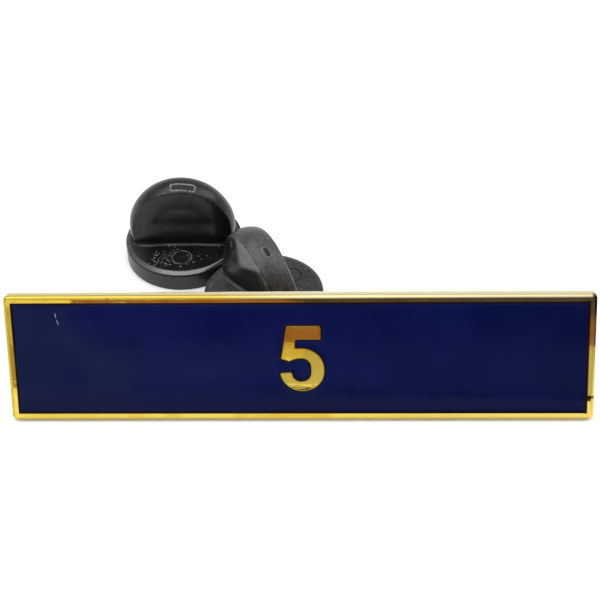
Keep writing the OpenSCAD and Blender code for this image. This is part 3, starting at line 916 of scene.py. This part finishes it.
def buildClutch(form, mark, setup):
    bm = bmesh.new()
    padRim, shadedRecess, groove, lip = (bm.verts.layers.float.new(n) for n in ("padRim", "shadedRecess", "groove", "lip"))
    markAngle, markReach = math.radians(mark["turn"]), mark["reach"]
    centre, wheel, discTop, fillet = form["wheelCentre"], form["wheelRadius"], form["discTop"], form["footFillet"]
    crest, ridge = form["crestCurve"], form["ridgeRound"]
    ridgeTurn, lastTurn = math.radians(form["ridgeTurn"]), math.radians(90 + form["hollowLean"])
    ridgeRadius = wheel - crest + (crest - ridge) * math.cos(ridgeTurn)
    ridgeY = (crest - ridge) * math.sin(ridgeTurn)
    rimStart, rimHalf = ridgeRadius + ridge * math.cos(lastTurn), ridgeY + ridge * math.sin(lastTurn)
    cut = discTop + fillet                       # the wing's surface ends here and the fillet goes on
    ridgeLength = ridge * (lastTurn - ridgeTurn)
    rimLength = 2 * ridgeLength + 2 * crest * ridgeTurn

    def thickness(x, level):                     # share of the full thickness at a place on the wing
        flare = form["flare"] * smoothStep(-form["flareTop"], -cut, -level)
        return (1 - form["taper"] * (x / wheel) ** 2) * (1 + flare)

    def faceHalf(x, radius, level):              # half thickness on a face, which is dished below its ridge
        share = min(max((radius - rimStart + form["hollowSlope"]) / form["hollowSlope"], 0.0), 1.0)
        depth = (rimHalf - form["hollowHalf"]) * (1 - 0.92 * smoothStep(*form["hollowFade"], abs(x)))
        return (rimHalf - depth * (1 - share ** 1.3)) * thickness(x, level)

    def rimPoint(s):                             # radius, y and normal along the rim's section
        if s < ridgeLength:
            turn = lastTurn - s / ridge
            radius, y = ridgeRadius + ridge * math.cos(turn), -ridgeY - ridge * math.sin(turn)
            return radius, y, math.cos(turn), -math.sin(turn)
        if s > rimLength - ridgeLength:
            radius, y, nr, ny = rimPoint(rimLength - s)
            return radius, -y, nr, -ny
        turn = (s - rimLength / 2) / crest
        return wheel - crest * (1 - math.cos(turn)), crest * math.sin(turn), math.cos(turn), math.sin(turn)

    def endAngle(radius, level):
        return math.asin((level - centre) / radius)

    def angleAt(column, radius, level):
        low = endAngle(radius, level)
        return low + shares[column] * (math.pi - 2 * low)

    def markDistance(alongCrest, s):             # from the pad's outline, below 0 inside it
        a = abs(alongCrest) - (mark["halfLength"] - mark["corner"])
        b = abs(s - markReach) - (mark["halfWidth"] - mark["corner"])
        return math.hypot(max(a, 0), max(b, 0)) + min(max(a, b), 0) - mark["corner"]

    # finer steps round the pad
    markRadius = wheel - 0.15
    reachAngle, reachAcross = (mark["halfLength"] + 0.25) / markRadius, mark["halfWidth"] + 0.15
    first, last = endAngle(wheel, cut), math.pi - endAngle(wheel, cut)
    angles = gradedSteps(first, last, markAngle - reachAngle, markAngle + reachAngle, 0.05 / markRadius, 0.033)
    shares = [(a - first) / (last - first) for a in angles]
    rimSteps = gradedSteps(0.0, rimLength, markReach - reachAcross, markReach + reachAcross, 0.045, 0.12)
    faceRows = form["faceRows"]
    faceShares = [1 - (1 - k / faceRows) ** 1.25 for k in range(faceRows)]
    columns, rims = len(shares), len(rimSteps)

    def facePoint(column, share, side, level=cut):
        chord = math.sqrt(rimStart ** 2 - (level - centre) ** 2)
        start = Vector((chord * (1 - 2 * column / (columns - 1)), level))
        angle = angleAt(column, rimStart, level)
        end = Vector((rimStart * math.cos(angle), centre + rimStart * math.sin(angle)))
        place = start.lerp(end, share)
        return Vector((place.x, side * faceHalf(place.x, math.hypot(place.x, place.y - centre), place.y), place.y))

    def rimVert(column, row):
        s = rimSteps[row]
        radius, y, nr, ny = rimPoint(s)
        angle = angleAt(column, radius, cut)
        distance = markDistance((angle - markAngle) * markRadius, s)
        rib = math.exp(-(distance / mark["rib"]) ** 2)
        within = smoothStep(mark["rib"] * 0.5, mark["rib"] * 1.6, -distance)
        raised = rib * mark["height"] - within * mark["sunk"]
        radius, y = radius + nr * raised, y + ny * raised
        x, level = radius * math.cos(angle), centre + radius * math.sin(angle)
        vert = bm.verts.new((x, y * thickness(x, level), level))
        vert[padRim], vert[shadedRecess] = rib, within
        return vert

    # the wing: a grid from one foot over the crest to the other foot
    grid = []
    for column in range(columns):
        rim = [rimVert(column, row) for row in range(rims)]
        if column in (0, columns - 1):
            front, back = rim[:1] * faceRows, rim[-1:] * faceRows
        else:
            front = [bm.verts.new(facePoint(column, share, -1)) for share in faceShares]
            back = [bm.verts.new(facePoint(column, share, 1)) for share in reversed(faceShares)]
        grid.append(front + rim + back)
    for left, right in zip(grid, grid[1:]):
        for row in range(len(left) - 1):
            addFace(bm, (left[row], left[row + 1], right[row + 1], right[row]))

    # its lower outline as one loop: front foot, far end, back foot, near end
    keys = [("front", k) for k in range(columns)] + [("left", k) for k in range(1, rims - 1)]
    keys += [("back", k) for k in reversed(range(columns))] + [("right", k) for k in reversed(range(1, rims - 1))]
    outline = {"front": [row[0] for row in grid], "back": [row[-1] for row in grid],
               "left": grid[-1][faceRows:], "right": grid[0][faceRows:]}
    wingLoop = [outline[kind][k] for kind, k in keys]

    def outlineAt(key, level):
        kind, k = key
        if kind in ("front", "back"):
            return facePoint(k, 0.0, -1 if kind == "front" else 1, level).xy
        radius, y, _, _ = rimPoint(rimSteps[k])
        x = math.sqrt(radius ** 2 - (level - centre) ** 2)
        return Vector((x if kind == "right" else -x, y * thickness(x, level)))

    def outward(line):
        sides = []
        for i, here in enumerate(line):
            span = line[(i + 1) % len(line)] - line[i - 1]
            side = Vector((span.y, -span.x)).normalized()
            sides.append(side if side.dot(here) > 0 else -side)
        return sides

    radius, lipStart = form["discRadius"], form["lipStart"]
    lipWidth, lipFoot = radius - lipStart, discTop - form["lipDrop"]

    def lipShare(reach):         # 0 inside the lip, 1 at the rim
        return min(max((reach - lipStart) / lipWidth, 0.0), 1.0)

    def discLevel(reach):        # the disc's top, rounded off at the lip
        share = lipShare(reach)
        return discTop - form["lipDrop"] * (0.82 * max(share - 0.05, 0.0) + 0.08 * share + 0.14 * share ** 8)

    rings = [wingLoop]
    for aside, down in quarterTurn(7, first=1):      # the last one lies on the disc
        level = discTop + fillet * down
        line = [outlineAt(key, level) for key in keys]
        ring = []
        for place, side in zip(line, outward(line)):
            width = fillet * (1 - 0.8 * smoothStep(*form["filletFade"], abs(place.x)))
            moved = place + side * width * aside
            ring.append(bm.verts.new((moved.x, moved.y, level if down else discLevel(moved.length))))
        rings.append(ring)
    foot = [v.co.xy.copy() for v in rings[-1]]

    # from the foot out to a circle on the lip, over the flat top
    lipCircle, endReach = lipStart + 0.4 * lipWidth, form["endReach"]
    endTurn = math.acos(endReach / lipCircle)
    circle = []
    for kind, k in keys:
        if kind in ("front", "back"):
            x = endReach * (1 - 2 * k / (columns - 1))
            y = math.sqrt(lipCircle ** 2 - x ** 2)
            circle.append(Vector((x, -y if kind == "front" else y)))
        else:
            turn = -endTurn + 2 * endTurn * k / (rims - 1)
            x = lipCircle * math.cos(turn)
            circle.append(Vector((x if kind == "right" else -x, lipCircle * math.sin(turn))))
    flatRings, firstFlat = form["flatRings"], len(rings) - 1
    for step in range(1, flatRings + 1):
        places = [a.lerp(b, step / flatRings) for a, b in zip(foot, circle)]
        rings.append([bm.verts.new((p.x, p.y, discLevel(p.length))) for p in places])
        for vert, p in zip(rings[-1], places):
            vert[lip] = lipShare(p.length)

    # lip, wall, heel, underside and bore, as (radius, level)
    heel, under = form["heel"], form["undercut"]
    mouth, bore, depth, end = form["mouthRadius"], form["boreRadius"], form["mouthDepth"], form["boreDepth"]
    profile = [(lipStart + lipWidth * share, None) for share in (0.52, 0.63, 0.73, 0.82, 0.89, 0.945, 0.98)]
    profile += [(radius, lipFoot), (radius - 0.01, lipFoot - 0.03), (radius - under, lipFoot - 0.06)]
    profile += [(radius - under, lipFoot - 0.18), (radius - under * 0.3, lipFoot - 0.26)]
    profile += [(radius - 0.01, lipFoot - 0.42), (radius, 1.0), (radius, 0.6), (radius, heel)]
    profile += [(radius - heel * 0.3, heel * 0.3), (radius - heel, 0.0), (radius - 0.5, 0.0), (4.4, 0.0), (2.6, 0.0)]
    profile += [(mouth + 0.08, 0.0), (mouth, 0.05), (mouth - (mouth - bore) * 0.5, depth * 0.52)]
    profile += [(bore + 0.03, depth * 0.95), (bore, depth + 0.1)]
    profile += [(bore, end * share) for share in (0.4, 0.7, 0.97)] + [(bore * 0.8, end)]
    directions = [p.normalized() for p in circle]
    for reach, level in profile:
        onLip = level is None
        height = discLevel(reach) if onLip else level
        rings.append([bm.verts.new((d.x * reach, d.y * reach, height)) for d in directions])
        for vert in rings[-1]:
            vert[lip] = lipShare(reach) if onLip or level > lipFoot - 0.02 else 0.0
            # the undercut below the lip is painted dark as shadow
            vert[shadedRecess] = 1.0 if not onLip and lipFoot - 0.2 < level < lipFoot - 0.04 else 0.0
    bridgeAll(bm, rings)
    bm.faces.new(rings[-1])

    # ring marks: a block of the flat top is taken out and a round patch is set in
    outer, inner = form["ringRadius"], form["ringRadius"] - form["ringWidth"]
    width, depth = form["ringWidth"], form["ringDepth"]
    section = [(outer + 0.13, 0.0), (outer + 0.05, 0.012), (outer + 0.01, 0.022), (outer - 0.015, -depth * 0.5),
               (outer - width * 0.35, -depth), (outer - width * 0.65, -depth), (inner + 0.015, -depth * 0.5),
               (inner - 0.01, 0.022), (inner - 0.05, 0.01), (inner - 0.2, 0.0), (outer * 0.5, 0.0), (outer * 0.22, 0.0)]
    for kind, side in (("front", -1), ("back", 1)):
        middle = side * setup["ringPlace"]
        order = [i for i, key in enumerate(keys) if key[0] == kind]
        block = [i for i in order if abs(rings[firstFlat][i].co.x) < outer + 0.32]
        levels = [k for k in range(firstFlat, firstFlat + flatRings + 1)
                  if abs(rings[k][block[len(block) // 2]].co.y - middle) < outer + 0.3]
        low, high = levels[0], levels[-1]
        between = range(low + 1, high)
        border = [rings[low][i] for i in block] + [rings[k][block[-1]] for k in between]
        border += [rings[high][i] for i in reversed(block)] + [rings[k][block[0]] for k in reversed(between)]
        members = {rings[k][i] for k in range(low, high + 1) for i in block}
        doomed = [f for f in bm.faces if all(v in members for v in f.verts)]
        bmesh.ops.delete(bm, geom=doomed, context="FACES")
        startTurn, laterTurn = (math.atan2(v.co.y - middle, v.co.x) for v in (border[0], border[len(border) // 4]))
        way = 1 if (laterTurn - startTurn) % (2 * math.pi) < math.pi else -1
        turns = [startTurn + way * 2 * math.pi * k / len(border) for k in range(len(border))]
        last = border
        for reach, rise in section:
            places = [(reach * math.cos(a), middle + reach * math.sin(a), discTop + rise) for a in turns]
            ring = [bm.verts.new(place) for place in places]
            for vert in ring:
                vert[groove] = min(max(-rise / depth, 0.0), 1.0)
            bridge(bm, last, ring)
            last = ring
        bm.faces.new(last)

    drift, shift = Vector((setup["seed"], 0, 0)), Vector((*setup["shift"], 0))
    swellFront, swellBack = setup["swell"]
    bulgeFull, bulgeFades, bulgeEnd = form["bulgeLevels"]
    for vert in bm.verts:        # a moulding is never quite true, and soft rubber stays bent
        if vert.co.xy.length > bore + 0.1 or vert.co.z > end + 0.3:
            vert.co += noise.noise_vector(vert.co * 0.35 + drift) * smoothStep(0.3, 2.0, vert.co.z) * form["wobble"]
            share = smoothStep(cut - 0.2, form["bendTop"], vert.co.z)
            low = smoothStep(cut, bulgeFull, vert.co.z) * (1 - smoothStep(bulgeFades, bulgeEnd, vert.co.z))
            back = (swellBack - 1) * share + setup["bulge"] * low
            vert.co.y *= 1 + ((swellFront - 1) * share if vert.co.y > 0 else back)
            vert.co = Matrix.Rotation(math.radians(setup["twist"]) * share, 3, "Z") @ (vert.co + shift * share)
    return bm


clutchSetup = {
    "leftClutch": {
        "node": "left_clutch", "rubber": farRubber, "turn": 180.6,       # of the wing, in degrees
        "pad": {"halfLength": 1.27, "turn": 94.6, "reach": 2.394},       # angle on the crest, reach across it
        "ringPlace": 3.475,                      # how far out the rings sit
        # how the grip is bent: degrees, mm, shares in front and behind near the top, and low on its back
        "twist": 0.0, "shift": (0.0, 0.0), "swell": (1.0, 1.0), "bulge": 0.0,
        "seed": 1.0,
    },
    "rightClutch": {
        "node": "right_clutch", "rubber": nearRubber, "turn": 132.0,
        "pad": {"halfLength": 0.62, "halfWidth": 0.3, "turn": 112.0, "reach": 1.66, "corner": 0.29},
        "ringPlace": 3.7,
        "twist": -10.65, "shift": (0.09, 0.345), "swell": (1.17, 1.12), "bulge": 0.28,
        "seed": 8.0,
    },
}
for name, setup in clutchSetup.items():
    node = setup["node"]
    low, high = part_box(node)
    centre = Vector(((low.x + high.x) / 2, (low.y + high.y) / 2, 0))
    clutchPlace = Matrix.Translation(centre) @ Matrix.Rotation(math.radians(setup["turn"]), 4, "Z")
    moulding = buildClutch(clutchForm, markForm | setup["pad"], setup)
    clutch = newPiece(name, moulding, setup["rubber"], clutchPlace, sharpAngle=38)
    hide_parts(node)
    print(name, "built,", len(clutch.data.polygons), "faces")


# floor, light and the cards that the metal mirrors

stageSetup = {
    "floor": (0.90, 0.90, 0.90, 1), "floorReach": 3000,       # mm
    "horizon": 0.95, "sky": 0.34, "between": (0.12, 0.4),      # brightness, and where one becomes the other
    "backdrop": 0.98,                                         # what the camera sees behind it all
    "softbox": {"place": (-0.15, -0.15, 1.0), "size": 1.6, "watts": 18.5},
    "side": {"place": (0.9, 0.35, 0.8), "size": 0.7, "watts": 4.0},
}


def stagePlane(name, corners, colour, card=False):      # a card glows, and only mirrors see it
    mesh = bpy.data.meshes.new(name)
    mesh.from_pydata([tuple(c * mm for c in corner) for corner in corners], [], [tuple(range(len(corners)))])
    material, _, shader = newMaterial(name)
    shader["Base Color"].default_value = (0, 0, 0, 1) if card else colour
    shader["Roughness"].default_value = 0.8
    shader["Specular IOR Level"].default_value = 0.0 if card else 0.2
    mesh.materials.append(material)
    plane = bpy.data.objects.new(name, mesh)
    scene.collection.objects.link(plane)
    if card:
        shader["Emission Color"].default_value = colour
        shader["Emission Strength"].default_value = 1.0
        plane.visible_camera = plane.visible_diffuse = plane.visible_shadow = plane.visible_transmission = False


def softLight(name, place, size, watts):      # a square lamp that faces the middle of the floor
    light = bpy.data.lights.new(name, "AREA")
    light.shape, light.size, light.energy = "SQUARE", size, watts
    lamp = bpy.data.objects.new(name, light)
    scene.collection.objects.link(lamp)
    aim = (-Vector(place)).to_track_quat("-Z", "Y").to_matrix()
    lamp.matrix_world = Matrix.Translation(place) @ aim.to_4x4()


reach = stageSetup["floorReach"]
ground = [(-reach, -reach, 0), (reach, -reach, 0), (reach, reach, 0), (-reach, reach, 0)]
stagePlane("floor", ground, stageSetup["floor"])
softLight("softbox", **stageSetup["softbox"])
softLight("sideLight", **stageSetup["side"])
# height and corners in mm, colour; each lies just above the floor in front of the bar, out of the camera's view,
# besides the wall, whose corners have heights of their own, and the one overhead
cards = {
    "woodCard": (0.3, [(-32, -84), (300, -84), (300, -240), (-66, -240), (-47, -164)], (0.46, 0.215, 0.20, 1)),
    "darkCard": (0.4, [(34, -91), (300, -70), (300, -900), (-60, -900), (-30, -240), (-16, -164)],
                 (0.10, 0.092, 0.19, 1)),
    "darkWall": (0, [(-60, -900, 0), (700, -900, 0), (700, -900, 300), (20, -900, 300)], (0.12, 0.12, 0.20, 1)),
    "lineCard": (0.3, [(-20, -40), (-8, -39.2), (-1.3, -38.2), (30, -30), (80, -18), (80, -22),
                       (30, -34.2), (-1.5, -42.2), (-8, -43.2), (-20, -44)], (0.07, 0.055, 0.05, 1)),
    "glintCard": (0.35, [(-8, -43.4), (7, -41.2), (7, -43.0), (-8, -45.2)], (1.55, 1.53, 1.45, 1)),
    "copperCard": (0.5, [(32.5, -92), (70, -84), (80, -124), (36, -126)], (0.36, 0.17, 0.15, 1)),
    "warmCard": (0.3, [(-12, -70), (-2.8, -70), (-2.8, -90), (-12, -90)], (0.92, 0.80, 0.58, 1)),
    "shadeCard": (0.2, [(-9, -33), (90, -33), (90, -84), (-2.8, -84), (-2.8, -62), (-9, -58)], (0.75, 0.70, 0.72, 1)),
    "ochreCard": (0.2, [(-60, -43), (-25, -43), (-34, -88), (-60, -88)], (0.50, 0.40, 0.30, 1)),
    "leftCard": (0.2, [(-75, -88), (-38, -88), (-46, -150), (-75, -150)], (0.72, 0.71, 0.64, 1)),
    "rightCard": (0.2, [(41, -33), (110, -33), (110, 25), (41, 25)], (0.22, 0.16, 0.12, 1)),
    "topCard": (900, [(-60, -900), (400, -900), (400, 900), (-60, 900)], (0.72, 0.70, 0.66, 1)),
}
for name, (height, corners, colour) in cards.items():
    stagePlane(name, [(*corner, height)[:3] for corner in corners], colour, card=True)

scene.world = bpy.data.worlds.new("studio")
scene.world.use_nodes = True
nodes = Nodes(scene.world.node_tree)
nodes.tree.nodes.clear()
around = nodes.add("ShaderNodeTexCoord").outputs["Generated"]
direction = nodes.add("ShaderNodeSeparateXYZ", {0: around}).outputs[2]
sky = nodes.remap(direction, *stageSetup["between"], stageSetup["horizon"], stageSetup["sky"])
seen = nodes.times(nodes.add("ShaderNodeLightPath").outputs["Is Camera Ray"], stageSetup["backdrop"])
glow = nodes.add("ShaderNodeBackground", {"Color": (1, 1, 1, 1), "Strength": nodes.most(sky, seen)})
nodes.add("ShaderNodeOutputWorld", {"Surface": glow.outputs[0]})
print("stage set")
